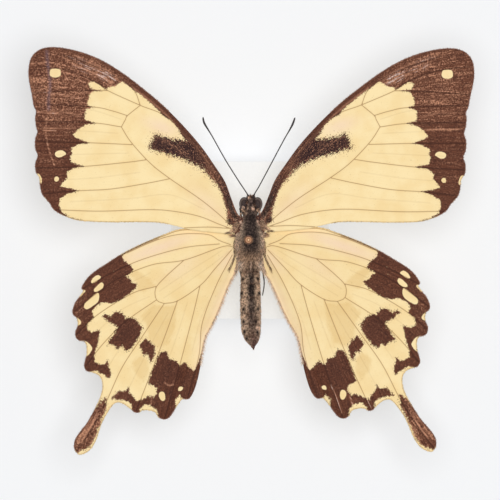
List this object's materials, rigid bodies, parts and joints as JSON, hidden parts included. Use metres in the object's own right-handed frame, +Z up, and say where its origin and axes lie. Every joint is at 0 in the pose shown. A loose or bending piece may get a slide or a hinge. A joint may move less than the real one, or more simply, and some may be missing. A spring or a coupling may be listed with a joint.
{
  "type": "pinned mocker swallowtail specimen",
  "caption": "Set dry male mocker swallowtail, cream and black wings spread with tails, held on an insect pin above a small foam block.",
  "frame": {"origin": "middle of the foam block's underside, below the body's long axis at the pin's row", "axes": "+X to the specimen's right wing, +Y towards the head, +Z up along the pin"},
  "size_m": [0.089, 0.0814, 0.04],
  "materials": {
    "wing_scales": "matt powdery scales",
    "body_scales": "short dense fur",
    "abdomen_scales": "flat lying scales",
    "eye": "satin, fine facets",
    "limb": "satin",
    "pin_metal": "polished copper tone",
    "foam": "fine closed cells"
  },
  "bodies": {
    "root": {"head": "body_scales", "eye_left": "eye", "eye_right": "eye", "palp_left": "body_scales", "palp_right": "body_scales", "proboscis": "limb", "antenna_left": "limb", "antenna_right": "limb", "prothorax": "body_scales", "thorax": "body_scales", "abdomen": "abdomen_scales", "forewing_left": "wing_scales", "forewing_right": "wing_scales", "hindwing_left": "wing_scales", "hindwing_right": "wing_scales", "foreleg_left": "limb", "foreleg_right": "limb", "midleg_left": "limb", "midleg_right": "limb", "hindleg_left": "limb", "hindleg_right": "limb", "insect_pin": "pin_metal", "stand_base": "foam"}
  },
  "joints": []
}
